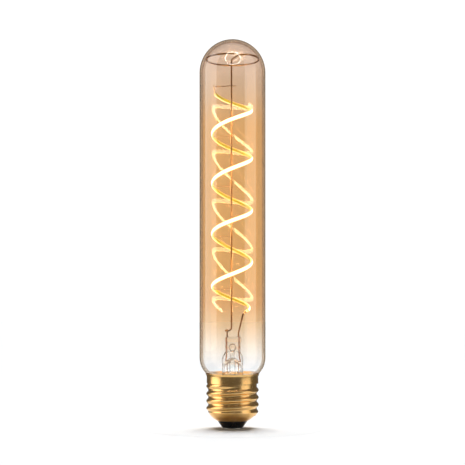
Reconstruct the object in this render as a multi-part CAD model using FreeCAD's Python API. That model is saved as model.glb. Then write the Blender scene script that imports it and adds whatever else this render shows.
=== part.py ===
import FreeCAD, Part
import math
import os
from FreeCAD import Vector

# Tubular filament bulb, cap down on its centre contact. Millimetres, +Z up.
# The origin is the middle of the contact's underside; -Y is the front and +X the right hand side.

# Glass envelope, a drawn tube with a round end
overall_height = 193.3
tube_diameter = 32.8
glass_wall = 0.9
shoulder_radius = 11.85
neck_diameter = 22.4
neck_fillet_radius = 1.5
neck_above_board = 5.6
least_cement_width = 0.9

# Screw shell, rolled from thin brass sheet
cap_height = 27.2
sheet_thickness = 0.3
rim_diameter = 26.8
rim_height = 1.0
skirt_diameter = 25.65
skirt_height = 4.8
thread_crest_diameter = 26.15
thread_root_diameter = 24.0
thread_pitch = 3.629
thread_root_flat = 0.06
thread_bottom_height = 7.34
thread_runout_turns = 0.4
thread_section_places = (-0.47, -0.25, -0.1, 0.1, 0.25, 0.47)
thread_samples_per_turn = 16
ridge_sink = 0.1
thread_crest_height = 19.15
cup_radius = 10.0
cup_height = 8.2
cup_mouth_diameter = 15.2
cup_chords = 5

# Black insulator and the contact riveted through it
insulator_height = 3.8
insulator_foot_diameter = 10.6
insulator_plug_height = 2.6
contact_diameter = 10.0
contact_thickness = 0.5
contact_dome_drop = 0.25
rivet_diameter = 2.6
rivet_hole_diameter = 1.4

# Glass stem: flared tube below, flat pinch above, with its pumping tube
stem_tube_diameter = 10.6
pinch_top_height = 45.6
pinch_height = 7.6
pinch_width = 7.8
pinch_depth = 4.6
pinch_shoulder_drop = 1.9
pinch_shoulder_width = 9.6
pinch_shoulder_depth = 7.4
stem_tube_drop = 4.6
pump_hole_rise = 2.3
pump_hole_diameter = 2.6
pump_mouth_diameter = 3.9
pump_tube_diameter = 3.4
pump_tube_wall = 0.55
pump_tip_height = 14.5
left_bead_diameter = 2.4
right_bead_diameter = 3.0
bead_height = 3.6
bead_stand = 0.4
bead_foot_share = 0.6
bead_belly_from = 0.3
bead_belly_to = 0.75
flare_chords = 3
stem_ledge = 0.15

# Wires
lead_diameter = 0.8
seal_wire_diameter = 0.5
outer_lead_diameter = 0.5
left_lead_x = -2.65
right_lead_x = 3.0
left_lead_rise = 3.8
lead_knee_radius = 2.0
lead_knee_rise = 2.0
rod_diameter = 0.8
rod_x = -0.5
rod_foot_rise = 3.0
rod_foot_radius = 1.7
rod_foot_overlap = 1.1
rod_top_radius = 1.6
spring_loop_drop = 9.8
spring_loop_clearance = 0.57
spring_entry_angle = -70.0
spring_entry_radius = 4.0
spring_tip_angle = 274.0
feed_wire_diameter = 0.45
feed_wire_rise = 3.1
feed_wire_stub = 2.1
feed_wire_bend_radius = 3.0
support_diameter = 0.3
support_stub = 0.7
support_hook_rise = 1.2
weld_gap = 0.02

# Strip filament, a soft strip wound round the rod in an uneven right-handed helix
strip_axis_x = -0.25
strip_outer_radius = 10.4
strip_width = 1.8
strip_board_width = 1.3
strip_board_thickness = 0.35
strip_coat_thickness = 0.8
strip_bond_gap = 0.02
strip_rise = 13.5
strip_top_drop = 15.5
strip_unevenness = [0.0, -0.9, -0.9, 0.6, 0.1, 1.0, 1.4, 1.0, 0.5, -1.1]
strip_start_angle = -8.0
strip_end_angle = 1592.0
strip_end_draw_in = 1.9
strip_end_draw_angle = 70.0
strip_end_draw_limit = 1.2
strip_samples_per_turn = 20
coat_section_angles = (30, 70, 110, 150)
tab_width = 1.3
tab_thickness = 0.25
tab_length_angle = 17.0
tab_weld_angle = 3.0
top_tab_overlap = 0.5

# Driver inside the cap
driver_board_diameter = 17.0
driver_board_thickness = 1.0
driver_board_height = 9.2
pad_inset = 1.5
bridge_size = Vector(4.7, 3.8, 1.5)
chip_size = Vector(4.0, 3.4, 1.4)
package_from_edge = 0.6
package_lift = 0.15
package_chamfer = 0.25
pin_size = Vector(0.4, 0.6, 0.2)
pins_per_side = 4
capacitor_diameter = 5.0
capacitor_length = 7.0
capacitor_spacing = 1.0
capacitor_groove = 0.25
capacitor_groove_from_end = 1.4
fuse_diameter = 2.4
fuse_length = 6.0
fuse_from_edge = 1.2
fuse_lift = 0.3
fuse_wire_overhang = 1.0
body_chamfer = 0.3
fuse_wire_diameter = 0.5
wire_bend_radius = 0.6
shell_wire_exit_angle = 140.0
shell_wire_rise = 4.0
solder_gap = 0.05

# Places that follow from the sizes above
tube_radius = tube_diameter / 2
neck_radius = neck_diameter / 2
dome_height = overall_height - tube_radius
skirt_radius = skirt_diameter / 2
skirt_bottom = cap_height - skirt_height
root_radius = thread_root_diameter / 2
core_radius = root_radius + thread_root_flat
rim_radius = rim_diameter / 2
thread_turns = (skirt_bottom - thread_bottom_height) / thread_pitch
driver_board_top = driver_board_height + driver_board_thickness
package_edge = driver_board_diameter / 2 - package_from_edge
neck_bottom = driver_board_top + neck_above_board
stem_radius = stem_tube_diameter / 2
pinch_bottom_height = pinch_top_height - pinch_height
pinch_shoulder_height = pinch_bottom_height - pinch_shoulder_drop
stem_tube_top_height = pinch_bottom_height - stem_tube_drop
pinch_x = (left_lead_x + right_lead_x) / 2
rod_foot_height = pinch_top_height + rod_foot_rise
rod_y = -(rod_diameter + lead_diameter) / 2 - weld_gap
spring_loop_height = overall_height - spring_loop_drop
dome_inside_at_loop = math.sqrt((tube_radius - glass_wall) ** 2 - (spring_loop_height - dome_height) ** 2)
spring_loop_radius = dome_inside_at_loop - rod_diameter / 2 - spring_loop_clearance
strip_bottom_height = pinch_top_height + strip_rise
strip_top_height = spring_loop_height - strip_top_drop
strip_half_turn_rise = (strip_top_height - strip_bottom_height) / (strip_end_angle / 180)
strip_slope = math.atan(strip_half_turn_rise / (math.pi * strip_outer_radius))
coat_inner_radius = strip_outer_radius - strip_coat_thickness
board_outer_radius = coat_inner_radius - strip_bond_gap
board_inner_radius = board_outer_radius - strip_board_thickness


def cylindrical(radius, angle, height, axis_x=0.0):
    turn = math.radians(angle)
    return Vector(axis_x + radius * math.cos(turn), radius * math.sin(turn), height)


def line(start, end):
    return Part.LineSegment(start, end).toShape()


def arc_round(start, middle, end):
    return Part.Arc(start, middle, end).toShape()


def arc_about(centre, start, end):
    """The short arc round centre from start to end, in the XZ half-plane."""
    middle = (start + end) * 0.5 - centre
    middle.normalize()
    return arc_round(start, centre + middle * (start - centre).Length, end)


def chords_about(centre, start, end, count):
    """The same arc as this many straight edges, for a curve too small or too deep inside to need more."""
    first = math.atan2(start.z - centre.z, start.x - centre.x)
    last = math.atan2(end.z - centre.z, end.x - centre.x)
    swing = math.remainder(last - first, 2 * math.pi)
    radius = (start - centre).Length
    points = [start]
    for index in range(1, count):
        turn = first + swing * index / count
        points.append(centre + Vector(math.cos(turn), 0, math.sin(turn)) * radius)
    points.append(end)
    return [line(a, b) for a, b in zip(points, points[1:])]


def revolve(edges):
    face = Part.Face(Part.Wire(Part.__sortEdges__(edges)))
    return face.revolve(Vector(0, 0, 0), Vector(0, 0, 1), 360)


def polygon_revolve(points):
    corners = [Vector(radius, 0, height) for radius, height in points]
    edges = [line(a, b) for a, b in zip(corners, corners[1:] + corners[:1])]
    return revolve(edges)


def rod_between(start, end, diameter):
    return Part.makeCylinder(diameter / 2, (end - start).Length, start, end - start)


def bent_wire(points, radii, diameter, tail_edges=()):
    """Round wire along straight runs with a tangent bend at each inner point, then the tail edges."""
    edges = []
    start = points[0]
    for corner, following, radius in zip(points[1:-1], points[2:], radii):
        back = start - corner
        ahead = following - corner
        back.normalize()
        ahead.normalize()
        half_turn = back.getAngle(ahead) / 2
        reach = radius / math.tan(half_turn)
        bisector = back + ahead
        bisector.normalize()
        centre = corner + bisector * (radius / math.sin(half_turn))
        bend_start = corner + back * reach
        bend_end = corner + ahead * reach
        edges.append(line(start, bend_start))
        edges.append(arc_round(bend_start, centre - bisector * radius, bend_end))
        start = bend_end
    edges.append(line(start, points[-1]))
    edges.extend(tail_edges)
    path = Part.Wire(edges)
    section = Part.Wire(Part.makeCircle(diameter / 2, points[0], points[1] - points[0]))
    return path.makePipeShell([section], True, False, 2)


def curve_through(points):
    curve = Part.BSplineCurve()
    curve.interpolate(points)
    return curve


def faces_along(surface, count):
    """Faces of one long surface, cut into this many lengths."""
    u_start, u_end, v_start, v_end = surface.bounds()
    faces = []
    for index in range(count):
        part = surface.copy()
        step = (u_end - u_start) / count
        part.segment(u_start + step * index, u_start + step * (index + 1), v_start, v_end)
        faces.append(part.toShape())
    return faces


def helical_bar(section_at, angles):
    """Solid bar through its sections, each a closed outline with the same number of corners."""
    sections = [section_at(angle) for angle in angles]
    rails = [curve_through(list(path)) for path in zip(*sections)]
    rails.append(rails[0])
    lengths = max(1, round((angles[-1] - angles[0]) / 180))
    faces = []
    for near_rail, far_rail in zip(rails, rails[1:]):
        faces.extend(faces_along(near_rail.makeRuledSurface(far_rail), lengths))
    for outline in (sections[0], sections[-1]):
        faces.append(Part.Face(Part.makePolygon(outline + [outline[0]])))
    shell = Part.makeShell(faces)
    shell.sewShape()
    solid = Part.makeSolid(shell)
    if solid.Volume < 0:
        solid.reverse()
    return solid


def export(name, shape):
    solids = shape.Solids
    for solid in solids:
        if not solid.isValid():
            print("not valid:", name)
    result = solids[0] if len(solids) == 1 else Part.makeCompound(solids)
    result.exportStep("parts/" + name + ".step")
    print(name, len(solids), "solids,", round(sum(s.Volume for s in solids), 2), "mm3")


# Glass envelope

def shoulder_centre():
    """Centre of the shoulder's arc, which clears the cap's mouth and leaves room for cement below it."""
    centre_x = tube_radius - shoulder_radius
    mouth_across = rim_radius - sheet_thickness - weld_gap - centre_x
    cement_across = skirt_radius - sheet_thickness - least_cement_width - centre_x
    over_mouth = cap_height + math.sqrt(shoulder_radius ** 2 - mouth_across ** 2)
    over_cement = cement_top_height() + math.sqrt(shoulder_radius ** 2 - cement_across ** 2)
    return Vector(centre_x, 0, max(over_mouth, over_cement))


def cement_top_height():
    return cap_height - rim_height - sheet_thickness


def envelope_side(inset):
    """Edges of the glass section from the top of the dome to the neck's lower end, inset from the outside."""
    dome_centre = Vector(0, 0, dome_height)
    side_radius = tube_radius - inset
    centre = shoulder_centre()
    fillet_x = neck_radius + neck_fillet_radius
    reach = shoulder_radius + neck_fillet_radius
    fillet_centre = Vector(fillet_x, 0, centre.z - math.sqrt(reach ** 2 - (fillet_x - centre.x) ** 2))
    towards_fillet = fillet_centre - centre
    towards_fillet.normalize()
    top = Vector(0, 0, dome_height + side_radius)
    dome_end = Vector(side_radius, 0, dome_height)
    shoulder_start = Vector(side_radius, 0, centre.z)
    shoulder_end = centre + towards_fillet * (shoulder_radius - inset)
    neck_start = Vector(neck_radius - inset, 0, fillet_centre.z)
    neck_end = Vector(neck_radius - inset, 0, neck_bottom)
    return [
        arc_about(dome_centre, top, dome_end),
        line(dome_end, shoulder_start),
        arc_about(centre, shoulder_start, shoulder_end),
        arc_about(fillet_centre, shoulder_end, neck_start),
        line(neck_start, neck_end),
    ], top, neck_end


def glass_envelope():
    outside, outside_top, outside_end = envelope_side(0)
    inside, inside_top, inside_end = envelope_side(glass_wall)
    return revolve(outside + inside + [line(outside_top, inside_top), line(outside_end, inside_end)])


# Screw shell

def thread_profile(offset):
    """Distance of the rounded thread from the axis, this far along the axis from the crest."""
    rounding = (thread_pitch ** 2 / 4 + (root_radius - thread_crest_diameter / 2) ** 2)
    rounding /= 4 * (thread_crest_diameter / 2 - root_radius)
    if abs(offset) <= thread_pitch / 4:
        drop = rounding - math.sqrt(rounding ** 2 - offset ** 2)
        return thread_crest_diameter / 2 - drop
    from_root = thread_pitch / 2 - abs(offset)
    return root_radius + rounding - math.sqrt(rounding ** 2 - from_root ** 2)


def core_side(height, inset):
    """Distance from the axis to the unthreaded shell at this height, below the skirt."""
    centre = cup_arc_centre()
    straight = core_radius - inset
    if height >= centre.z:
        return straight
    return min(straight, centre.x + math.sqrt(max((cup_radius - inset) ** 2 - (centre.z - height) ** 2, 0)))


def thread_ridge(inset):
    """The helical ridge alone, its foot sunk in the shell's core and both ends running out to nothing."""
    offsets = [thread_pitch * place for place in thread_section_places]
    last_angle = 360 * (skirt_bottom - thread_crest_height) / thread_pitch
    first_angle = last_angle - 360 * thread_turns

    def section_at(angle):
        height = thread_crest_height + thread_pitch * angle / 360
        from_end = min(angle - first_angle, last_angle - angle) / (360 * thread_runout_turns)
        fullness = min(1.0, from_end)
        fullness = fullness * fullness * (3 - 2 * fullness)
        outline = []
        for offset in offsets:
            low = core_side(height + offset, inset) - ridge_sink
            radius = low + (thread_profile(offset) - inset - low) * fullness
            outline.append(cylindrical(radius, angle, height + offset))
        for offset in (offsets[-1], offsets[0]):
            radius = core_side(height + offset, inset) - 2 * ridge_sink
            outline.append(cylindrical(radius, angle, height + offset))
        return outline

    count = round(thread_turns * thread_samples_per_turn)
    angles = [first_angle + (last_angle - first_angle) * step / count for step in range(count + 1)]
    return helical_bar(section_at, angles)


def cup_arc_centre():
    """Centre of the arc that turns the shell in under the thread, from the root down to the mouth."""
    top = Vector(core_radius, 0, cup_height)
    mouth = Vector(cup_mouth_diameter / 2, 0, insulator_height)
    chord = mouth - top
    inward = Vector(chord.z, 0, -chord.x)
    inward.normalize()
    return (top + mouth) * 0.5 + inward * math.sqrt(cup_radius ** 2 - chord.Length ** 2 / 4)


def cup_curve(inset):
    """Edges of the cup's curve from the thread's core down to the mouth, and its two ends."""
    centre = cup_arc_centre()
    radius = cup_radius - inset
    side = core_radius - inset
    top = Vector(side, 0, centre.z - math.sqrt(radius ** 2 - (side - centre.x) ** 2))
    outward = Vector(cup_mouth_diameter / 2, 0, insulator_height) - centre
    outward.normalize()
    mouth = centre + outward * radius
    return chords_about(centre, top, mouth, cup_chords), top, mouth


def shell_core(inset):
    """Solid inside the shell's unthreaded surface; an inset of the sheet's thickness gives its hollow."""
    root = core_radius - inset
    skirt = skirt_radius - inset
    rim = rim_radius - inset
    step = skirt_radius - root_radius
    curve, cup_top, mouth = cup_curve(inset)
    floor = insulator_height - inset
    points = [
        cup_top,
        Vector(root, 0, skirt_bottom - step),
        Vector(skirt, 0, skirt_bottom),
        Vector(skirt, 0, cap_height - rim_height),
        Vector(rim, 0, cap_height),
        Vector(0, 0, cap_height),
        Vector(0, 0, floor),
    ]
    if inset:
        way_out = Vector(cup_mouth_diameter / 2, 0, insulator_height)
        points.append(Vector(way_out.x, 0, floor))
        points.append(way_out)
    points.append(mouth)
    return revolve([line(a, b) for a, b in zip(points, points[1:])] + curve)


def screw_shell():
    outside = shell_core(0).fuse(thread_ridge(0))
    inside = shell_core(sheet_thickness).fuse(thread_ridge(sheet_thickness))
    return outside.cut(inside)


# Insulator and centre contact

def base_insulator():
    """Cone of black glass moulded into the cup, over the edge of the sheet and round the rivet."""
    plug_zone = Part.makeCylinder(core_radius, insulator_plug_height, Vector(0, 0, insulator_height))
    plug = shell_core(sheet_thickness).common(plug_zone)
    cone_height = insulator_height - contact_thickness
    cone = Part.makeCone(insulator_foot_diameter / 2, cup_mouth_diameter / 2, cone_height,
                         Vector(0, 0, contact_thickness))
    rivet_hole = Part.makeCylinder(rivet_diameter / 2, cone_height + insulator_plug_height,
                                   Vector(0, 0, contact_thickness))
    return plug.fuse(cone).cut(rivet_hole).removeSplitter()


def centre_contact():
    """Pressed disc with a hollow rivet; its flat middle is what the bulb stands on."""
    radius = contact_diameter / 2
    flat = radius - contact_dome_drop * 2
    rivet = rivet_diameter / 2
    hole = rivet_hole_diameter / 2
    top = insulator_height + insulator_plug_height
    head = top + contact_thickness
    return polygon_revolve([
        (0, 0),
        (flat, 0),
        (radius, contact_dome_drop),
        (radius, contact_thickness),
        (rivet, contact_thickness),
        (rivet, top),
        (rivet + contact_thickness, top),
        (rivet + contact_thickness, head),
        (hole, head),
        (hole, contact_thickness),
        (0, contact_thickness),
    ])


def capping_cement():
    """Ring of cement between the neck and the skirt."""
    outer = skirt_radius - sheet_thickness
    top = cement_top_height()
    ring = polygon_revolve([
        (neck_radius, skirt_bottom),
        (outer, skirt_bottom),
        (outer, top),
        (neck_radius, top),
    ])
    return ring.cut(glass_envelope())


# Stem

def stem_flare():
    """Flared tube, closed above by the flat pinch that holds the wires and the pumping hole."""
    flare_radius = neck_radius - glass_wall - stem_radius
    flare_top = neck_bottom + flare_radius
    centre = Vector(stem_radius + flare_radius, 0, flare_top)
    outer_corners = [
        Vector(centre.x, 0, neck_bottom),
        Vector(neck_radius, 0, neck_bottom),
        Vector(neck_radius, 0, neck_bottom - glass_wall),
        Vector(0, 0, neck_bottom - glass_wall),
        Vector(0, 0, stem_tube_top_height),
        Vector(stem_radius, 0, stem_tube_top_height),
        Vector(stem_radius, 0, flare_top),
    ]
    outside = revolve([line(a, b) for a, b in zip(outer_corners, outer_corners[1:])]
                      + chords_about(centre, outer_corners[-1], outer_corners[0], flare_chords))
    bore_radius = stem_radius - glass_wall
    bore_top = stem_tube_top_height + glass_wall
    dome_centre = Vector(0, 0, bore_top - bore_radius)
    bore_corners = [
        Vector(0, 0, bore_top),
        Vector(0, 0, neck_bottom - glass_wall),
        Vector(centre.x, 0, neck_bottom - glass_wall),
    ]
    bore_side = [Vector(bore_radius, 0, flare_top), Vector(bore_radius, 0, dome_centre.z)]
    bore = revolve([line(a, b) for a, b in zip(bore_corners, bore_corners[1:])]
                   + chords_about(centre, bore_corners[-1], bore_side[0], flare_chords)
                   + [line(bore_side[0], bore_side[1])]
                   + chords_about(dome_centre, bore_side[1], bore_corners[0], flare_chords))
    solids = [pinch()]
    holes = [bore, pump_bore(), pump_mouth()]
    for x, bead_diameter in ((left_lead_x, left_bead_diameter), (right_lead_x, right_bead_diameter)):
        foot = Vector(x, 0, pinch_top_height)
        solids.append(melt_bead(x, bead_diameter))
        holes.append(rod_between(Vector(x, 0, dome_centre.z), foot, seal_wire_diameter))
        holes.append(rod_between(foot, foot + Vector(0, 0, 2 * bead_stand), lead_diameter))
    return outside.fuse(solids).cut(holes)


def melt_bead(x, diameter):
    """Lump of melted glass round a lead where it comes out of the pinch."""
    radius = diameter / 2
    low = pinch_top_height + bead_stand - bead_height
    bead = polygon_revolve([
        (0, low),
        (radius * bead_foot_share, low),
        (radius, low + bead_height * bead_belly_from),
        (radius, low + bead_height * bead_belly_to),
        (lead_diameter, low + bead_height),
        (0, low + bead_height),
    ])
    bead.translate(Vector(x, 0, 0))
    return bead


def rounded_section(centre_x, width, depth, height):
    """Closed flat-sided oval at this height, of two lines and two half circles."""
    end = depth / 2
    reach = width / 2 - end
    left = centre_x - reach
    right = centre_x + reach
    return Part.Wire([
        line(Vector(left, -end, height), Vector(right, -end, height)),
        arc_round(Vector(right, -end, height), Vector(right + end, 0, height), Vector(right, end, height)),
        line(Vector(right, end, height), Vector(left, end, height)),
        arc_round(Vector(left, end, height), Vector(left - end, 0, height), Vector(left, -end, height)),
    ])


def pinch():
    """Flat block pinched out of the end of the tube, with the shoulder that leads up to it."""
    round_end = rounded_section(0, stem_tube_diameter - 2 * stem_ledge, stem_tube_diameter - 4 * stem_ledge,
                                stem_tube_top_height)
    shoulder = rounded_section(pinch_x / 2, pinch_shoulder_width, pinch_shoulder_depth, pinch_shoulder_height)
    flat_end = rounded_section(pinch_x, pinch_width, pinch_depth, pinch_bottom_height)
    block = Part.Face(flat_end).extrude(Vector(0, 0, pinch_height))
    return Part.makeLoft([round_end, shoulder, flat_end], True, True).fuse(block)


def pump_bore():
    """Seat of the pumping tube and the way on to the hole in the pinch."""
    seat_low = Vector(0, 0, stem_tube_top_height - stem_radius)
    seat = rod_between(seat_low, Vector(0, 0, pinch_bottom_height), pump_tube_diameter)
    pump_hole = Vector(0, 0, pinch_bottom_height + pump_hole_rise)
    way = rod_between(seat_low, pump_hole, pump_tube_diameter - 2 * pump_tube_wall)
    return seat.fuse(way)


def pump_mouth():
    """Hole blown out through one flat face of the pinch, wider at its mouth."""
    return Part.makeCone(pump_hole_diameter / 2, pump_mouth_diameter / 2, pinch_depth / 2,
                         Vector(0, 0, pinch_bottom_height + pump_hole_rise), Vector(0, -1, 0))


def exhaust_tube():
    """Pumping tube, welded into the pinch above and tipped off below."""
    outer = pump_tube_diameter / 2
    inner = outer - pump_tube_wall
    tip = pump_tip_height
    top = pinch_bottom_height
    return revolve([
        line(Vector(inner, 0, top), Vector(outer, 0, top)),
        line(Vector(outer, 0, top), Vector(outer, 0, tip + outer)),
        arc_about(Vector(0, 0, tip + outer), Vector(outer, 0, tip + outer), Vector(0, 0, tip)),
        line(Vector(0, 0, tip), Vector(0, 0, tip + pump_tube_wall)),
        arc_about(Vector(0, 0, tip + outer), Vector(0, 0, tip + pump_tube_wall),
                  Vector(inner, 0, tip + outer)),
        line(Vector(inner, 0, tip + outer), Vector(inner, 0, top)),
    ])


# Wires of the mount

def inner_lead_left():
    return rod_between(Vector(left_lead_x, 0, pinch_top_height),
                       Vector(left_lead_x, 0, pinch_top_height + left_lead_rise), lead_diameter)


def inner_lead_right():
    """Stands up out of the pinch, then leans out to the end of the strip."""
    foot = Vector(right_lead_x, 0, pinch_top_height)
    knee = Vector(right_lead_x, 0, pinch_top_height + lead_knee_rise)
    weld_angle = bottom_tab_angles()[0] + tab_weld_angle
    end = tab_point(weld_angle, bottom_tab_angles(), 0, board_inner_radius - lead_diameter / 2 - weld_gap)
    return bent_wire([foot, knee, end], [lead_knee_radius], lead_diameter)


def seal_wire(x):
    bore_top = stem_tube_top_height + glass_wall - stem_radius
    return rod_between(Vector(x, 0, bore_top), Vector(x, 0, pinch_top_height), seal_wire_diameter)


def outer_lead(x):
    """From the seal wire down past the pumping tube to a pad on the driver board."""
    top = Vector(x, 0, stem_tube_top_height + glass_wall - stem_radius)
    return rod_between(Vector(x, 0, driver_board_top), top, outer_lead_diameter)


def centre_rod():
    """One wire: foot welded across the left lead, straight rod, and the spring loop in the dome."""
    foot_end = Vector(left_lead_x - rod_foot_overlap, rod_y, rod_foot_height)
    foot_corner = Vector(rod_x, rod_y, rod_foot_height)
    top_corner = Vector(rod_x, rod_y, spring_loop_height)
    entry = math.radians(spring_entry_angle)
    ahead = Vector(math.cos(entry), math.sin(entry), 0)
    leftward = Vector(-ahead.y, ahead.x, 0)
    side = Vector(rod_x, rod_y, 0) + leftward * spring_entry_radius
    gap = spring_loop_radius - spring_entry_radius
    along = side.dot(ahead)
    run = -along + math.sqrt(along ** 2 - side.dot(side) + gap ** 2)
    bend_centre = side + ahead * run
    join = bend_centre * (spring_loop_radius / gap)
    up = Vector(0, 0, spring_loop_height)
    bend_start = bend_centre - leftward * spring_entry_radius
    outward = bend_start + join - bend_centre * 2
    outward.normalize()
    join_angle = math.degrees(math.atan2(join.y, join.x))
    half_way = (join_angle + spring_tip_angle) / 2
    loop = [
        arc_round(bend_start + up, bend_centre + outward * spring_entry_radius + up, join + up),
        arc_round(join + up, cylindrical(spring_loop_radius, half_way, spring_loop_height),
                  cylindrical(spring_loop_radius, spring_tip_angle, spring_loop_height)),
    ]
    points = [foot_end, foot_corner, top_corner, bend_start + up]
    return bent_wire(points, [rod_foot_radius, rod_top_radius], rod_diameter, loop)


def top_feed_wire():
    """Short wire welded behind the rod that carries the strip's upper tab."""
    y = rod_y + (rod_diameter + feed_wire_diameter) / 2 + weld_gap
    feed_wire_height = top_feed_height()
    start = Vector(rod_x + feed_wire_stub, y, feed_wire_height)
    corner = Vector(rod_x - rod_diameter, y, feed_wire_height)
    weld_angle = top_tab_angles()[1] - tab_weld_angle
    end = tab_point(weld_angle, top_tab_angles(), 0, board_inner_radius - feed_wire_diameter / 2 - weld_gap)
    end.z = feed_wire_height
    return bent_wire([start, corner, end], [feed_wire_bend_radius], feed_wire_diameter)


# Strip filament

def strip_height(angle):
    """Height of the strip's middle line: an even helix with the unevenness of one formed by hand."""
    return strip_bottom_height + strip_half_turn_rise * angle / 180 + strip_lift.value(
        min(max(angle / 180, 0.0), len(strip_unevenness) - 1.0)).y


def strip_lift_curve():
    curve = Part.BSplineCurve()
    knots = [Vector(index, lift, 0) for index, lift in enumerate(strip_unevenness)]
    curve.interpolate(knots, Parameters=[float(index) for index in range(len(knots))])
    return curve


def strip_draw_in(angle):
    """How far the last stretch at the bottom is drawn in to meet its lead."""
    left = 1 - (angle - strip_start_angle) / strip_end_draw_angle
    left = min(max(left, 0.0), strip_end_draw_limit)
    return strip_end_draw_in * left * left


def strip_point(angle, radius, across):
    """Point on the strip: its distance from the axis and its distance across the strip's width."""
    step = 1.0
    rise = strip_height(angle + step) - strip_height(angle - step)
    slope = math.atan2(rise, math.radians(2 * step) * strip_outer_radius)
    turn = math.radians(angle)
    up = Vector(math.sin(turn) * math.sin(slope), -math.cos(turn) * math.sin(slope), math.cos(slope))
    middle = cylindrical(radius - strip_draw_in(angle), angle, strip_height(angle), strip_axis_x)
    return middle + up * across


def strip_angles(first, last):
    count = max(4, round((last - first) / 360 * strip_samples_per_turn))
    return [first + (last - first) * step / count for step in range(count + 1)]


def filament_board():
    """Flat backing, narrower than the coat that is laid over it."""
    half = strip_board_width / 2

    def section_at(angle):
        outside = [strip_point(angle, board_outer_radius, across) for across in (-half, half)]
        return outside + [strip_point(angle, board_inner_radius, across) for across in (half, -half)]

    return helical_bar(section_at, strip_angles(strip_start_angle, strip_end_angle))


def filament_phosphor():
    """Domed coat bonded to the board's outer face."""
    half = strip_width / 2

    def section_at(angle):
        dome = []
        for swing in (0, *coat_section_angles, 180):
            across = -half * math.cos(math.radians(swing))
            radius = coat_inner_radius + strip_coat_thickness * math.sin(math.radians(swing))
            dome.append(strip_point(angle, radius, across))
        return dome

    return helical_bar(section_at, strip_angles(strip_start_angle, strip_end_angle))


def top_tab_angles():
    return strip_end_angle, strip_end_angle + tab_length_angle


def bottom_tab_angles():
    return strip_start_angle - tab_length_angle, strip_start_angle


def top_feed_height():
    return strip_height(strip_end_angle) + feed_wire_rise


def top_tab_climb():
    """How far the upper tab is bent up from the strip's own line to reach its feed wire."""
    return top_feed_height() + top_tab_overlap - strip_height(top_tab_angles()[1])


def tab_point(angle, angles, climb, radius, across=0):
    """Point on a tab between two angles, which climbs by this much over its length."""
    along = (angle - angles[0]) / (angles[1] - angles[0])
    return strip_point(angle, radius, across) + Vector(0, 0, climb * along)


def filament_tab(angles, climb):
    """Bare end of the strip's metal backing, bent to meet its wire."""
    half = tab_width / 2
    inner = board_inner_radius
    outer = inner + tab_thickness

    def section_at(angle):
        outside = [tab_point(angle, angles, climb, outer, across) for across in (-half, half)]
        return outside + [tab_point(angle, angles, climb, inner, across) for across in (half, -half)]

    return helical_bar(section_at, strip_angles(*angles))


def filament_support(turning):
    """Thin wire welded to the rod that passes under the strip and hooks up outside it."""
    angle = 180 + 360 * turning
    half_height = strip_width / 2 / math.cos(strip_slope)
    height = strip_height(angle) - half_height - support_diameter
    y = rod_y + (rod_diameter + support_diameter) / 2 + weld_gap
    outside = strip_axis_x - strip_outer_radius - support_diameter
    start = Vector(rod_x + support_stub, y, height)
    corner = Vector(outside, y, height)
    tip = Vector(outside, y, height + support_hook_rise)
    return bent_wire([start, corner, tip], [support_diameter], support_diameter)


# Driver

def driver_board():
    """Round board with plated holes for the two wires that go down to the cap."""
    contact_hole = Part.makeCylinder(rivet_hole_diameter / 2, driver_board_thickness * 3,
                                     Vector(0, 0, driver_board_height - driver_board_thickness))
    underside = Vector(0, 0, driver_board_height)
    board = Part.makeCylinder(driver_board_diameter / 2, driver_board_thickness, underside)
    return board.cut(contact_hole)


def surface_chip(size, centre_x):
    """Flat moulded package with gull-wing pins along its two long sides."""
    corner = Vector(centre_x - size.x / 2, -size.y / 2, driver_board_top + package_lift)
    body = Part.makeBox(size.x, size.y, size.z, corner)
    body = body.makeChamfer(package_chamfer, body.Edges)
    pins = []
    for index in range(pins_per_side):
        x = centre_x + size.x * (index + 0.5 - pins_per_side / 2) / pins_per_side - pin_size.x / 2
        for side in (-1, 1):
            near = side * size.y / 2
            shoulder = near + side * pin_size.y / 2
            foot_end = shoulder + side * pin_size.y
            shelf_height = driver_board_top + size.z / 2
            outline = [
                Vector(x, near - side * pin_size.y / 2, shelf_height),
                Vector(x, shoulder, shelf_height),
                Vector(x, shoulder, driver_board_top),
                Vector(x, foot_end, driver_board_top),
                Vector(x, foot_end, driver_board_top + pin_size.z),
                Vector(x, shoulder + side * pin_size.z, driver_board_top + pin_size.z),
                Vector(x, shoulder + side * pin_size.z, shelf_height + pin_size.z),
                Vector(x, near - side * pin_size.y / 2, shelf_height + pin_size.z),
            ]
            pins.append(Part.Face(Part.makePolygon(outline + [outline[0]])).extrude(Vector(pin_size.x, 0, 0)))
    return body.fuse(pins)


def smoothing_capacitor():
    """Round can lying on the board, with the groove that crimps it on to its rubber plug."""
    radius = capacitor_diameter / 2
    y = -pump_tube_diameter / 2 - radius - capacitor_spacing
    start = Vector(-capacitor_length / 2, y, driver_board_top + radius)
    can = Part.makeCylinder(radius, capacitor_length, start, Vector(1, 0, 0))
    can = can.makeChamfer(body_chamfer, can.Edges)
    groove_start = start + Vector(capacitor_length - capacitor_groove_from_end, 0, 0)
    groove_end = groove_start + Vector(2 * capacitor_groove, 0, 0)
    groove = rod_between(groove_start, groove_end, capacitor_diameter + capacitor_groove)
    groove = groove.cut(rod_between(groove_start, groove_end, capacitor_diameter - 2 * capacitor_groove))
    return can.cut(groove)


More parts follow.
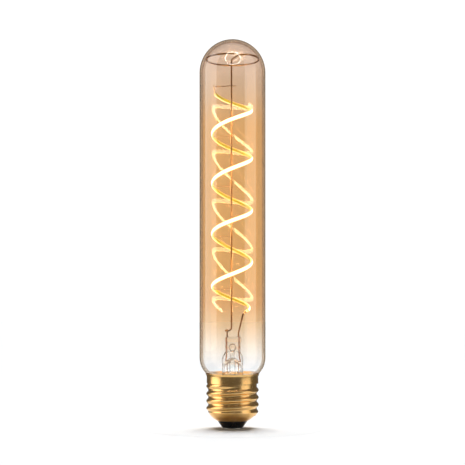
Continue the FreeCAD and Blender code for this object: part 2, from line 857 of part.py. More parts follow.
def fuse_resistor():
    """Wire-ended resistor body standing off the board on its own bent wire."""
    radius = fuse_diameter / 2
    y = driver_board_diameter / 2 - radius - fuse_from_edge
    axis_height = driver_board_top + radius + fuse_lift
    start = Vector(-fuse_length / 2, y, axis_height)
    body = Part.makeCylinder(radius, fuse_length, start, Vector(1, 0, 0))
    body = body.makeChamfer(body_chamfer, body.Edges)
    reach = fuse_length / 2 + fuse_wire_overhang
    points = [Vector(-reach, y, driver_board_top), Vector(-reach, y, axis_height),
              Vector(reach, y, axis_height), Vector(reach, y, driver_board_top)]
    return body.fuse(bent_wire(points, [wire_bend_radius, wire_bend_radius], fuse_wire_diameter))


def contact_wire():
    """From the driver board down the hollow rivet of the centre contact."""
    diameter = rivet_hole_diameter - 2 * solder_gap
    return rod_between(Vector(0, 0, contact_thickness + weld_gap), Vector(0, 0, driver_board_top), diameter)


def shell_wire():
    """From the board out to the inside of the shell, soldered there."""
    root_inside = core_radius - sheet_thickness
    wire_radius = fuse_wire_diameter / 2
    pad = driver_board_diameter / 2 - pad_inset
    seat = root_inside - wire_radius - weld_gap
    half_way = driver_board_top + shell_wire_rise / 2
    start = cylindrical(pad, shell_wire_exit_angle, driver_board_top)
    corner = cylindrical(pad, shell_wire_exit_angle, half_way)
    wall = cylindrical(seat, shell_wire_exit_angle, half_way)
    top = cylindrical(seat, shell_wire_exit_angle, driver_board_top + shell_wire_rise)
    return bent_wire([start, corner, wall, top], [wire_bend_radius, wire_bend_radius], fuse_wire_diameter)


os.makedirs("parts", exist_ok=True)
strip_lift = strip_lift_curve()

export("glass_envelope", glass_envelope())
export("screw_shell", screw_shell())
export("base_insulator", base_insulator())
export("centre_contact", centre_contact())
export("capping_cement", capping_cement())
export("stem_flare", stem_flare())
export("exhaust_tube", exhaust_tube())
export("inner_lead_left", inner_lead_left())
export("inner_lead_right", inner_lead_right())
for side, lead_x in (("left", left_lead_x), ("right", right_lead_x)):
    export("seal_wire_" + side, seal_wire(lead_x))
    export("outer_lead_" + side, outer_lead(lead_x))
export("centre_rod", centre_rod())
export("top_feed_wire", top_feed_wire())
export("filament_board", filament_board())
export("filament_phosphor", filament_phosphor())
export("filament_tab_top", filament_tab(top_tab_angles(), top_tab_climb()))
export("filament_tab_bottom", filament_tab(bottom_tab_angles(), 0))
for turning in range(4):
    export("filament_support_" + str(turning + 1), filament_support(turning))
export("driver_board", driver_board())
export("bridge_rectifier", surface_chip(bridge_size, bridge_size.x / 2 - package_edge))
export("driver_chip", surface_chip(chip_size, package_edge - chip_size.x / 2))
export("smoothing_capacitor", smoothing_capacitor())
export("fuse_resistor", fuse_resistor())
export("contact_wire", contact_wire())
export("shell_wire", shell_wire())
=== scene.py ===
import math

import bmesh
import bpy
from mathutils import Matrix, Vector


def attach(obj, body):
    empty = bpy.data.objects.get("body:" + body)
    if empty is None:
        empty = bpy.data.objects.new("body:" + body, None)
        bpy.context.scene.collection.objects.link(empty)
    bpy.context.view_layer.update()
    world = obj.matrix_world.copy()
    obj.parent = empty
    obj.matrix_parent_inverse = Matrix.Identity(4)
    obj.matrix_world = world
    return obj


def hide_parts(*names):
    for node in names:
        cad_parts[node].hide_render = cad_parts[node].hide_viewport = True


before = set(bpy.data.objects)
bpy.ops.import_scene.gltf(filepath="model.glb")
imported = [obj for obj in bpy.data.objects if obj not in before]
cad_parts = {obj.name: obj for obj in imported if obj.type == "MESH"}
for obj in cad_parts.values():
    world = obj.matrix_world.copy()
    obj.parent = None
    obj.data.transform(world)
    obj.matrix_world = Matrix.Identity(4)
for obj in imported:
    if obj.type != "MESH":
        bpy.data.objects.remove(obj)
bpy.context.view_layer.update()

mm = 0.001

# Centre contact. A disc pressed from tinned brass, riveted through the insulator, on which the bulb
# stands. Its middle is flat, its edge is rolled up, and the tin is dull with fine scratches.

contact_radius = 5.0 * mm
contact_flat_radius = 4.5 * mm
contact_thickness = 0.5 * mm
contact_edge_rise = 0.25 * mm
rivet_radius = 1.3 * mm
rivet_bore_radius = 0.7 * mm
rivet_top = 6.4 * mm


def add_node(tree, kind, **inputs):
    """A node of this kind with the named inputs set; an underscore in a name stands for a space."""
    node = tree.nodes.new(kind)
    for name, value in inputs.items():
        node.inputs[name.replace("_", " ")].default_value = value
    return node


def colour_ramp(tree, stops):
    ramp = tree.nodes.new("ShaderNodeValToRGB")
    elements = ramp.color_ramp.elements
    while len(elements) < len(stops):
        elements.new(0.5)
    for element, (place, colour) in zip(elements, stops):
        element.position = place
        element.color = (*colour, 1.0)
    return ramp


def surface_marks_group():
    """Fine marks and broad mottling of a handled surface, in the piece's own coordinates."""
    group = bpy.data.node_groups.new("surface marks", "ShaderNodeTree")
    face = group.interface
    scale = face.new_socket("Scale", in_out="INPUT", socket_type="NodeSocketFloat")
    scale.default_value = 1000.0
    stretch = face.new_socket("Stretch", in_out="INPUT", socket_type="NodeSocketVector")
    stretch.default_value = (1.0, 1.0, 1.0)
    face.new_socket("Fine", in_out="OUTPUT", socket_type="NodeSocketFloat")
    face.new_socket("Broad", in_out="OUTPUT", socket_type="NodeSocketFloat")
    start = group.nodes.new("NodeGroupInput")
    end = group.nodes.new("NodeGroupOutput")
    places = group.nodes.new("ShaderNodeTexCoord")
    stretched = group.nodes.new("ShaderNodeVectorMath")
    stretched.operation = "MULTIPLY"
    fine = add_node(group, "ShaderNodeTexNoise", Detail=4.0, Roughness=0.6)
    broad_scale = group.nodes.new("ShaderNodeMath")
    broad_scale.operation = "MULTIPLY"
    broad_scale.inputs[1].default_value = 0.12
    broad = add_node(group, "ShaderNodeTexNoise", Detail=2.0, Roughness=0.5)
    group.links.new(places.outputs["Object"], stretched.inputs[0])
    group.links.new(start.outputs["Stretch"], stretched.inputs[1])
    group.links.new(stretched.outputs["Vector"], fine.inputs["Vector"])
    group.links.new(stretched.outputs["Vector"], broad.inputs["Vector"])
    group.links.new(start.outputs["Scale"], fine.inputs["Scale"])
    group.links.new(start.outputs["Scale"], broad_scale.inputs[0])
    group.links.new(broad_scale.outputs["Value"], broad.inputs["Scale"])
    group.links.new(fine.outputs["Fac"], end.inputs["Fine"])
    group.links.new(broad.outputs["Fac"], end.inputs["Broad"])
    return group


surface_marks = surface_marks_group()


def marked_finish(name, light, dark, roughness, metallic=0.0, scale=1000.0, stretch=(1.0, 1.0, 1.0),
                  depth=0.01 * mm):
    """A finish that wanders between two colours and two roughnesses, with marks pressed in to this depth."""
    material = bpy.data.materials.new(name)
    material.use_nodes = True
    tree = material.node_tree
    principled = tree.nodes["Principled BSDF"]
    principled.inputs["Metallic"].default_value = metallic
    marks = tree.nodes.new("ShaderNodeGroup")
    marks.node_tree = surface_marks
    marks.inputs["Scale"].default_value = scale
    marks.inputs["Stretch"].default_value = stretch
    tint = colour_ramp(tree, [(0.35, dark), (0.65, light)])
    gloss = add_node(tree, "ShaderNodeMapRange", To_Min=roughness[0], To_Max=roughness[1])
    bump = add_node(tree, "ShaderNodeBump", Distance=depth)
    tree.links.new(marks.outputs["Broad"], tint.inputs["Fac"])
    tree.links.new(tint.outputs["Color"], principled.inputs["Base Color"])
    tree.links.new(marks.outputs["Fine"], gloss.inputs["Value"])
    tree.links.new(gloss.outputs["Result"], principled.inputs["Roughness"])
    tree.links.new(marks.outputs["Fine"], bump.inputs["Height"])
    tree.links.new(bump.outputs["Normal"], principled.inputs["Normal"])
    return material


def finish_piece(piece, material, slot, *nodes):
    """Gives a finished piece its material and its place on the bulb, and hides the solids that it stands for.
    """
    piece.data.materials.clear()
    piece.data.materials.append(material)
    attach(piece, "root")
    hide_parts(*nodes)


def new_piece(name, mesh):
    piece = bpy.data.objects.new(name, mesh)
    bpy.context.scene.collection.objects.link(piece)
    return piece


def lathe(name, outline, steps, crease=35.0):
    """A closed outline of (radius, height) points turned round the bulb's axis into one solid."""
    work = bmesh.new()
    rings = []
    for radius, height in outline:
        if radius == 0.0:
            rings.append([work.verts.new((0.0, 0.0, height))])
            continue
        turns = [2 * math.pi * step / steps for step in range(steps)]
        rings.append([work.verts.new((radius * math.cos(t), radius * math.sin(t), height)) for t in turns])
    for near, far in zip(rings, rings[1:] + rings[:1]):
        for step in range(steps):
            ahead = step + 1
            corners = [near[step % len(near)], near[ahead % len(near)]]
            corners += [far[ahead % len(far)], far[step % len(far)]]
            corners = list(dict.fromkeys(corners))
            if len(corners) > 2:
                work.faces.new(corners)
    bmesh.ops.recalc_face_normals(work, faces=work.faces)
    mesh = bpy.data.meshes.new(name)
    work.to_mesh(mesh)
    work.free()
    mesh.shade_smooth()
    mesh.set_sharp_from_angle(angle=math.radians(crease))
    return new_piece(name, mesh)


def arc_outline(centre, radius, start, end, count):
    """Points on an arc in the (radius, height) plane, between two angles in degrees."""
    points = []
    for step in range(count + 1):
        turn = math.radians(start + (end - start) * step / count)
        points.append((centre[0] + radius * math.cos(turn), centre[1] + radius * math.sin(turn)))
    return points


contact_corner = contact_radius - contact_edge_rise
contact = lathe("contact_disc", [
    (0.0, 0.0),
    (contact_flat_radius, 0.0),
    *arc_outline((contact_corner, contact_edge_rise), contact_edge_rise, -65, 80, 8),
    (rivet_radius, contact_thickness),
    (rivet_radius, rivet_top),
    (rivet_radius + contact_thickness, rivet_top),
    (rivet_radius + contact_thickness, rivet_top + contact_thickness),
    (rivet_bore_radius, rivet_top + contact_thickness),
    (rivet_bore_radius, contact_thickness),
    (0.0, contact_thickness),
], 96)
tinned = marked_finish("tinned contact", (0.72, 0.69, 0.62), (0.5, 0.46, 0.38), (0.22, 0.45), 1.0, 1500.0)
finish_piece(contact, tinned, "contact_metal", "centre_contact")

# Base insulator. A cone of black glass, moulded hot into the cup of the shell so that it holds the
# edge of the sheet and the rivet. It fills the cup along its curve and is rounded at the contact.

insulator_foot_radius = 5.3 * mm
insulator_top = 3.8 * mm
cup_mouth_radius = 7.6 * mm
insulator_rounding = 0.35 * mm
sheet = 0.3 * mm
core_radius = 12.06 * mm
cup_height = 8.2 * mm
cup_radius = 10.0 * mm


def cup_centre():
    """Centre of the curve from the thread's core down to the mouth of the cup."""
    across = cup_mouth_radius - core_radius
    down = insulator_top - cup_height
    chord = math.hypot(across, down)
    reach = math.sqrt(cup_radius ** 2 - chord ** 2 / 4)
    middle = ((cup_mouth_radius + core_radius) / 2, (insulator_top + cup_height) / 2)
    return middle[0] + down / chord * reach, middle[1] - across / chord * reach


def plug_outline():
    """Side of the insulator inside the cup, along the sheet, from the cup's mouth up to the rivet's head."""
    centre = cup_centre()
    reach = cup_radius - sheet
    low = math.degrees(math.asin((insulator_top - centre[1]) / reach))
    high = math.degrees(math.asin((rivet_top - centre[1]) / reach))
    return arc_outline(centre, reach, low, high, 8)


insulator = lathe("insulator_cone", [
    (rivet_radius, contact_thickness),
    (insulator_foot_radius - insulator_rounding, contact_thickness),
    *arc_outline((insulator_foot_radius - insulator_rounding, contact_thickness + insulator_rounding),
                 insulator_rounding, -80, -35, 5),
    (cup_mouth_radius - 0.12 * mm, insulator_top - 0.1 * mm),
    (cup_mouth_radius, insulator_top),
    *plug_outline(),
    (rivet_radius, rivet_top),
], 96)
black_glass = marked_finish("black glass", (0.012, 0.012, 0.014), (0.005, 0.005, 0.006), (0.06, 0.16),
                            0.0, 700.0)
black_glass.node_tree.nodes["Principled BSDF"].inputs["Specular IOR Level"].default_value = 0.3
finish_piece(insulator, black_glass, "black_glass", "base_insulator")

# Screw shell. One cup drawn from thin brass sheet: flared rim, plain skirt, then the thread, rolled in
# from both sides so that it shows inside too, and the cup turned in round the insulator.

cap_height = 27.2 * mm
rim_radius = 13.4 * mm
rim_height = 1.0 * mm
skirt_radius = 12.825 * mm
skirt_bottom = 22.4 * mm
crest_radius = 13.075 * mm
root_radius = 12.0 * mm
thread_pitch = 3.629 * mm
thread_bottom = 7.34 * mm
thread_turns = (skirt_bottom - thread_bottom) / thread_pitch
thread_runout_turns = 0.4
crest_height = 19.15 * mm
shell_steps = 160
shell_ring_spacing = 0.17 * mm


def shell_outline():
    """Outside of the blank from the mouth of the cup up to the rim, before the thread is rolled."""
    centre = cup_centre()
    first = math.degrees(math.atan2(insulator_top - centre[1], cup_mouth_radius - centre[0]))
    last = math.degrees(math.atan2(cup_height - centre[1], core_radius - centre[0]))
    points = arc_outline(centre, cup_radius, first, last, 32)
    step = skirt_radius - root_radius
    rings = round((skirt_bottom - step - cup_height) / shell_ring_spacing)
    for ring in range(1, rings + 1):
        points.append((core_radius, cup_height + (skirt_bottom - step - cup_height) * ring / rings))
    points += arc_outline((core_radius + step, skirt_bottom - step * 0.4), step, 180, 96, 5)[1:-1]
    points += [(skirt_radius - 0.02 * mm, skirt_bottom), (skirt_radius, skirt_bottom + 0.12 * mm)]
    points.append((skirt_radius, cap_height - rim_height - 0.2 * mm))
    points.append((skirt_radius + 0.08 * mm, cap_height - rim_height))
    points += [(rim_radius - 0.06 * mm, cap_height - 0.25 * mm), (rim_radius, cap_height - 0.12 * mm)]
    points += [(rim_radius - 0.04 * mm, cap_height - 0.03 * mm), (rim_radius - sheet / 2, cap_height)]
    return points


def formula_node(tree, operation, *values):
    """A Math node; each value is a socket to link or a plain number."""
    node = tree.nodes.new("ShaderNodeMath")
    node.operation = operation
    for socket, value in zip(node.inputs, values):
        if isinstance(value, (int, float)):
            socket.default_value = value
        else:
            tree.links.new(value, socket)
    return node.outputs[0]


def thread_rolling_tree():
    """Pushes the blank out into a rounded right-handed thread that runs out at both ends."""
    tree = bpy.data.node_groups.new("roll the thread", "GeometryNodeTree")
    face = tree.interface
    face.new_socket("Geometry", in_out="INPUT", socket_type="NodeSocketGeometry")
    for name in ("Pitch", "Crest Radius", "Root Radius", "Crest Height",
                 "First Turn", "Last Turn", "Runout Turns"):
        face.new_socket(name, in_out="INPUT", socket_type="NodeSocketFloat")
    face.new_socket("Brass", in_out="INPUT", socket_type="NodeSocketMaterial")
    face.new_socket("Geometry", in_out="OUTPUT", socket_type="NodeSocketGeometry")
    start = tree.nodes.new("NodeGroupInput")
    given = start.outputs
    place = tree.nodes.new("GeometryNodeInputPosition")
    parts = tree.nodes.new("ShaderNodeSeparateXYZ")
    tree.links.new(place.outputs[0], parts.inputs[0])
    x, y, z = parts.outputs
    turn = formula_node(tree, "DIVIDE", formula_node(tree, "ARCTAN2", y, x), 2 * math.pi)
    climbed = formula_node(tree, "MULTIPLY", turn, given["Pitch"])
    above = formula_node(tree, "SUBTRACT", formula_node(tree, "SUBTRACT", z, given["Crest Height"]), climbed)
    ridges_up = formula_node(tree, "ROUND", formula_node(tree, "DIVIDE", above, given["Pitch"]))
    offset = formula_node(tree, "SUBTRACT", formula_node(tree, "DIVIDE", above, given["Pitch"]), ridges_up)
    along = formula_node(tree, "ADD", turn, ridges_up)
    from_first = formula_node(tree, "SUBTRACT", along, given["First Turn"])
    from_last = formula_node(tree, "SUBTRACT", given["Last Turn"], along)
    from_end = formula_node(tree, "MINIMUM", from_first, from_last)
    fullness = tree.nodes.new("ShaderNodeMapRange")
    fullness.interpolation_type = "SMOOTHSTEP"
    tree.links.new(formula_node(tree, "DIVIDE", from_end, given["Runout Turns"]), fullness.inputs["Value"])
    swing = formula_node(tree, "SUBTRACT", given["Crest Radius"], given["Root Radius"])
    wave = formula_node(tree, "COSINE", formula_node(tree, "MULTIPLY", offset, 2 * math.pi))
    lifted = formula_node(tree, "MULTIPLY_ADD", wave, 0.5, 0.5)
    profile = formula_node(tree, "MULTIPLY_ADD", lifted, swing, given["Root Radius"])
    blank = tree.nodes.new("GeometryNodeInputNamedAttribute")
    blank.inputs["Name"].default_value = "blank_radius"
    past_blank = formula_node(tree, "SUBTRACT", profile, blank.outputs["Attribute"])
    rise = formula_node(tree, "MAXIMUM", past_blank, 0.0)
    push = formula_node(tree, "MULTIPLY", rise, fullness.outputs["Result"])
    outward = tree.nodes.new("ShaderNodeCombineXYZ")
    tree.links.new(x, outward.inputs["X"])
    tree.links.new(y, outward.inputs["Y"])
    unit = tree.nodes.new("ShaderNodeVectorMath")
    unit.operation = "NORMALIZE"
    tree.links.new(outward.outputs[0], unit.inputs[0])
    scaled = tree.nodes.new("ShaderNodeVectorMath")
    scaled.operation = "SCALE"
    tree.links.new(unit.outputs[0], scaled.inputs[0])
    tree.links.new(push, scaled.inputs["Scale"])
    moved = tree.nodes.new("GeometryNodeSetPosition")
    tree.links.new(given["Geometry"], moved.inputs["Geometry"])
    tree.links.new(scaled.outputs[0], moved.inputs["Offset"])
    painted = tree.nodes.new("GeometryNodeSetMaterial")
    end = tree.nodes.new("NodeGroupOutput")
    tree.links.new(moved.outputs[0], painted.inputs["Geometry"])
    tree.links.new(given["Brass"], painted.inputs["Material"])
    tree.links.new(painted.outputs[0], end.inputs[0])
    return tree


def run_tree(piece, tree, **values):
    """Runs a node tree on a piece with its named inputs, and leaves the result as its plain mesh."""
    modifier = piece.modifiers.new(tree.name, "NODES")
    modifier.node_group = tree
    for item in tree.interface.items_tree:
        if item.in_out == "INPUT" and item.name.replace(" ", "_") in values:
            modifier[item.identifier] = values[item.name.replace(" ", "_")]
    depsgraph = bpy.context.evaluated_depsgraph_get()
    mesh = bpy.data.meshes.new_from_object(piece.evaluated_get(depsgraph), depsgraph=depsgraph)
    piece.modifiers.remove(modifier)
    mesh.name = piece.name
    piece.data = mesh


brass = marked_finish("rolled brass", (0.92, 0.58, 0.23), (0.84, 0.49, 0.16), (0.22, 0.30), 1.0, 1800.0,
                      (1.0, 1.0, 0.15), 0.004 * mm)
outside = shell_outline()
inside = [(radius - sheet, height) for radius, height in outside]
shell = lathe("brass_screw_shell", outside + inside[::-1], shell_steps, 40.0)
blank = shell.data.attributes.new("blank_radius", "FLOAT", "POINT")
for index in range(len(shell.data.vertices)):
    ring = index // shell_steps
    station = ring if ring < len(outside) else 2 * len(outside) - 1 - ring
    blank.data[index].value = outside[station][0]
last_turn = (skirt_bottom - crest_height) / thread_pitch
run_tree(shell, thread_rolling_tree(), Pitch=thread_pitch, Crest_Radius=crest_radius, Root_Radius=root_radius,
         Crest_Height=crest_height, First_Turn=last_turn - thread_turns, Last_Turn=last_turn,
         Runout_Turns=thread_runout_turns, Brass=brass)
shell.data.attributes.remove(shell.data.attributes["blank_radius"])
finish_piece(shell, brass, "brass", "screw_shell")

# Capping cement. A ring of baked cement that holds the glass neck in the skirt, matt and gritty.


def smooth_copy(name, node, crease=35.0):
    """The solid's own form as a joined mesh with smooth curves and its hard edges kept."""
    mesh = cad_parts[node].data.copy()
    mesh.name = name
    work = bmesh.new()
    work.from_mesh(mesh)
    bmesh.ops.remove_doubles(work, verts=work.verts, dist=0.0005 * mm)
    work.to_mesh(mesh)
    work.free()
    mesh.shade_smooth()
    mesh.set_sharp_from_angle(angle=math.radians(crease))
    return new_piece(name, mesh)


cement = smooth_copy("cement_ring", "capping_cement")
baked_cement = marked_finish("baked cement", (0.62, 0.55, 0.45), (0.42, 0.36, 0.28), (0.75, 0.95),
                             0.0, 2500.0, depth=0.05 * mm)
finish_piece(cement, baked_cement, "cement", "capping_cement")

# Driver. A round board pushed into the cap, with a rectifier and a driver chip in moulded packages, a
# small electrolytic can and a lacquered fuse resistor, and the wires that join it to cap and leads.

board = smooth_copy("round_board", "driver_board")
lacquer = marked_finish("board lacquer", (0.03, 0.16, 0.07), (0.015, 0.10, 0.045), (0.25, 0.45), 0.0, 900.0)
finish_piece(board, lacquer, "circuit_board", "driver_board")
package_black = marked_finish("moulded package", (0.03, 0.03, 0.032), (0.015, 0.015, 0.017), (0.45, 0.7),
                              0.0, 3000.0)
for package in ("bridge_rectifier", "driver_chip"):
    finish_piece(smooth_copy("moulded_" + package, package), package_black, "chip", package)
can = smooth_copy("electrolytic_can", "smoothing_capacitor")
drawn_aluminium = marked_finish("drawn aluminium", (0.78, 0.79, 0.80), (0.62, 0.63, 0.65), (0.2, 0.4),
                                1.0, 1500.0, (0.1, 1.0, 1.0))
finish_piece(can, drawn_aluminium, "capacitor_sleeve", "smoothing_capacitor")
resistor = smooth_copy("lacquered_resistor", "fuse_resistor")
resistor_lacquer = marked_finish("resistor lacquer", (0.10, 0.26, 0.22), (0.06, 0.18, 0.15), (0.2, 0.4),
                                 0.0, 1200.0)
finish_piece(resistor, resistor_lacquer, "resistor_body", "fuse_resistor")
drawn_copper = marked_finish("drawn copper", (0.55, 0.27, 0.14), (0.36, 0.16, 0.08), (0.18, 0.38),
                             1.0, 2500.0, (1.0, 1.0, 0.1), 0.005 * mm)
for wire in ("contact_wire", "shell_wire", "outer_lead_left", "outer_lead_right",
             "seal_wire_left", "seal_wire_right"):
    finish_piece(smooth_copy("copper_" + wire, wire), drawn_copper, "copper", wire)

# Stem. A glass tube flared out to the envelope's neck, its end pinched flat and hot round the leads, with a
# melted lump where each lead stands out and a pumping hole blown through. The pumping tube hangs in it,
# and its upper end is one with the pinch.

stem_radius = 5.3 * mm
stem_wall = 0.9 * mm
flare_bottom = 14.9 * mm
flare_outer_radius = 11.2 * mm
flare_height = 5.0 * mm
fire_joint_height = 29.0 * mm
stem_tube_top = 33.4 * mm
pinch_bottom = 38.0 * mm
pinch_top = 45.3 * mm
pinch_half_width = 3.9 * mm
pinch_half_depth = 2.3 * mm
pinch_middle_x = 0.175 * mm
pump_hole_height = 40.3 * mm
pump_hole_radius = 1.3 * mm
pump_mouth_radius = 1.95 * mm
pump_tube_radius = 1.7 * mm
pump_tube_wall = 0.55 * mm
pump_tip_height = 14.5 * mm
seam_clean_up = 0.004 * mm
lead_lumps = ((-2.65 * mm, 1.2 * mm, 44.2 * mm, 1.85 * mm), (3.0 * mm, 1.55 * mm, 43.9 * mm, 2.2 * mm))


def pinch_outline(height):
    """Half width, half depth, squareness and middle of the hot-formed end of the tube at this height."""
    closing = min(max((height - stem_tube_top) / (pinch_bottom - stem_tube_top), 0.0), 1.0)
    width = pinch_half_width + (stem_radius - pinch_half_width) * (1 - closing ** 2) ** 0.9
    depth = pinch_half_depth + (stem_radius - pinch_half_depth) * (1 - closing) ** 0.85
    width += closing * 0.09 * mm * math.sin(height / mm * 2.3)
    depth += closing * 0.10 * mm * math.sin(height / mm * 1.7 + 1.0)
    return width, depth, 2.0 + 1.2 * closing, pinch_middle_x * closing


def hot_formed_end(work, sides=72, spacing=0.35 * mm):
    """The tube's end from the joint up: round, then closed down to the flat pinch, with a rounded top."""
    rings = []
    tall = pinch_top - fire_joint_height
    count = round(tall / spacing)
    heights = [fire_joint_height + tall * step / count for step in range(count + 1)]
    shrink = [1.0] * len(heights) + [0.93, 0.75]
    heights += [pinch_top + 0.12 * mm, pinch_top + 0.2 * mm]
    for height, share in zip(heights, shrink):
        width, depth, squareness, middle = pinch_outline(height)
        ring = []
        for side in range(sides):
            turn = 2 * math.pi * side / sides
            x = math.copysign(abs(math.cos(turn)) ** (2 / squareness), math.cos(turn)) * width * share
            y = math.copysign(abs(math.sin(turn)) ** (2 / squareness), math.sin(turn)) * depth * share
            ring.append(work.verts.new((middle + x, y, height)))
        rings.append(ring)
    for near, far in zip(rings, rings[1:]):
        for side in range(sides):
            ahead = (side + 1) % sides
            work.faces.new([near[side], near[ahead], far[ahead], far[side]])
    work.faces.new(rings[0])
    work.faces.new(rings[-1])


def apply_modifiers(piece):
    depsgraph = bpy.context.evaluated_depsgraph_get()
    mesh = bpy.data.meshes.new_from_object(piece.evaluated_get(depsgraph), depsgraph=depsgraph)
    piece.modifiers.clear()
    piece.data = mesh


def join_or_cut(piece, other, operation):
    """Joins another closed piece to this one or cuts it away, and drops the other."""
    boolean = piece.modifiers.new(operation.lower(), "BOOLEAN")
    boolean.operation = operation
    boolean.object = other
    boolean.solver = "EXACT"
    apply_modifiers(piece)
    bpy.data.objects.remove(other)


def pinched_stem():
    """The hot end melted together by a voxel remesh, on the drawn tube and its flare, with its bores."""
    work = bmesh.new()
    hot_formed_end(work)
    for x, radius, height, half_tall in lead_lumps:
        lump = bmesh.ops.create_uvsphere(work, u_segments=32, v_segments=20, radius=1.0)
        bmesh.ops.scale(work, vec=(radius, radius * 1.05, half_tall), verts=lump["verts"])
        bmesh.ops.translate(work, vec=(x, 0.0, height), verts=lump["verts"])
    bmesh.ops.recalc_face_normals(work, faces=work.faces)
    mesh = bpy.data.meshes.new("glass_stem")
    work.to_mesh(mesh)
    work.free()
    stem = new_piece("glass_stem", mesh)
    melted = stem.modifiers.new("melted", "REMESH")
    melted.mode = "VOXEL"
    melted.voxel_size = 0.15 * mm
    relaxed = stem.modifiers.new("relaxed", "SMOOTH")
    relaxed.factor = 0.5
    relaxed.iterations = 14
    apply_modifiers(stem)
    flare_centre = (stem_radius + flare_height, flare_bottom + stem_wall + flare_height)
    drawn = lathe("drawn_tube", [
        (0.0, flare_bottom),
        (flare_outer_radius, flare_bottom),
        (flare_outer_radius, flare_bottom + stem_wall),
        *arc_outline(flare_centre, flare_height, -90, -180, 16),
        (stem_radius, fire_joint_height + 0.4 * mm),
        (0.0, fire_joint_height + 0.4 * mm),
    ], 96)
    join_or_cut(stem, drawn, "UNION")
    bore_radius = stem_radius - stem_wall
    bore_top = stem_tube_top + stem_wall
    way_radius = pump_tube_radius - pump_tube_wall
    bore = lathe("stem_bore", [
        (0.0, flare_bottom - stem_wall),
        (flare_centre[0], flare_bottom - stem_wall),
        *arc_outline(flare_centre, flare_height + stem_wall, -90, -180, 16),
        *arc_outline((0.0, bore_top - bore_radius), bore_radius, 0, 75, 12),
        (way_radius, bore_top),
        (way_radius, pump_hole_height),
        (0.0, pump_hole_height + way_radius),
    ], 96)
    join_or_cut(stem, bore, "DIFFERENCE")
    mouth = lathe("pump_mouth", [
        (0.0, -0.3 * mm),
        (pump_hole_radius, 0.0),
        (pump_mouth_radius, pinch_half_depth),
        (pump_mouth_radius + 0.5 * mm, pinch_half_depth + 0.4 * mm),
        (0.0, pinch_half_depth + 0.4 * mm),
    ], 64)
    for corner in mouth.data.vertices:
        across, inward, out = corner.co
        corner.co = (across, -out, pump_hole_height + inward)
    join_or_cut(stem, mouth, "DIFFERENCE")
    work = bmesh.new()
    work.from_mesh(stem.data)
    bmesh.ops.remove_doubles(work, verts=work.verts, dist=seam_clean_up)
    bmesh.ops.dissolve_degenerate(work, dist=seam_clean_up, edges=work.edges)
    work.to_mesh(stem.data)
    work.free()
    stem.data.shade_smooth()
    stem.data.set_sharp_from_angle(angle=math.radians(40))
    return stem


def clear_glass(name, low_tint, roughness, ripple, ripple_scale):
    """Glass with gentle ripples from the flame; lamps light what is inside it through its wall."""
    material = bpy.data.materials.new(name)
    material.use_nodes = True
    tree = material.node_tree
    principled = tree.nodes["Principled BSDF"]
    principled.inputs["Transmission Weight"].default_value = 1.0
    principled.inputs["Roughness"].default_value = roughness
    principled.inputs["IOR"].default_value = 1.5
    marks = tree.nodes.new("ShaderNodeGroup")
    marks.node_tree = surface_marks
    marks.inputs["Scale"].default_value = ripple_scale
    bump = add_node(tree, "ShaderNodeBump", Distance=ripple)
    tint = colour_ramp(tree, [(0.3, low_tint), (0.7, tuple(min(1.0, part * 1.03) for part in low_tint))])
    tree.links.new(marks.outputs["Fine"], bump.inputs["Height"])
    tree.links.new(bump.outputs["Normal"], principled.inputs["Normal"])
    tree.links.new(marks.outputs["Broad"], tint.inputs["Fac"])
    tree.links.new(tint.outputs["Color"], principled.inputs["Base Color"])
    lamp_way = tree.nodes.new("ShaderNodeLightPath")
    through = tree.nodes.new("ShaderNodeBsdfTransparent")
    either = tree.nodes.new("ShaderNodeMixShader")
    tree.links.new(lamp_way.outputs["Is Shadow Ray"], either.inputs[0])
    tree.links.new(principled.outputs[0], either.inputs[1])
    tree.links.new(through.outputs[0], either.inputs[2])
    tree.links.new(either.outputs[0], tree.nodes["Material Output"].inputs["Surface"])
    return material


def height_share(tree, low, high):
    """How far up a point of the piece lies between two heights, from 0 to 1."""
    place = tree.nodes.new("ShaderNodeTexCoord")
    parts = tree.nodes.new("ShaderNodeSeparateXYZ")
    share = add_node(tree, "ShaderNodeMapRange", From_Min=low, From_Max=high)
    tree.links.new(place.outputs["Object"], parts.inputs[0])
    tree.links.new(parts.outputs["Z"], share.inputs["Value"])
    return share.outputs["Result"]


def paint_dark_outline(tree, colour, stops):
    """Glass seen along its wall is a little deeper in colour; the much darker outline that this multiplies in
    at grazing angles is painted shade, standing in for dark surroundings seen through the edge of a tube.
    """
    slant = add_node(tree, "ShaderNodeLayerWeight", Blend=0.5)
    outline_shade = colour_ramp(tree, stops)
    tree.links.new(slant.outputs["Facing"], outline_shade.inputs["Fac"])
    both = tree.nodes.new("ShaderNodeMix")
    both.data_type = "RGBA"
    both.blend_type = "MULTIPLY"
    both.inputs["Factor"].default_value = 1.0
    tree.links.new(colour, both.inputs["A"])
    tree.links.new(outline_shade.outputs["Color"], both.inputs["B"])
    tree.links.new(both.outputs["Result"], tree.nodes["Principled BSDF"].inputs["Base Color"])


stem_glass = clear_glass("flame-worked glass", (0.96, 0.97, 0.97), 0.0, 0.004 * mm, 500.0)
stem_tree = stem_glass.node_tree
stem_tree.nodes["Principled BSDF"].inputs["IOR"].default_value = 1.34
stem_tint = stem_tree.nodes["Principled BSDF"].inputs["Base Color"].links[0].from_socket
# Painted reflection: the stem's glass is tinted warm from 32 mm up through the pinch, standing in for the
# brass reflected in it.
painted_warm_reflection = stem_tree.nodes.new("ShaderNodeMix")
painted_warm_reflection.data_type = "RGBA"
painted_warm_reflection.blend_type = "MULTIPLY"
painted_warm_reflection.inputs["B"].default_value = (0.95, 0.88, 0.80, 1.0)
stem_tree.links.new(height_share(stem_tree, 32.0 * mm, pinch_bottom), painted_warm_reflection.inputs["Factor"])
stem_tree.links.new(stem_tint, painted_warm_reflection.inputs["A"])
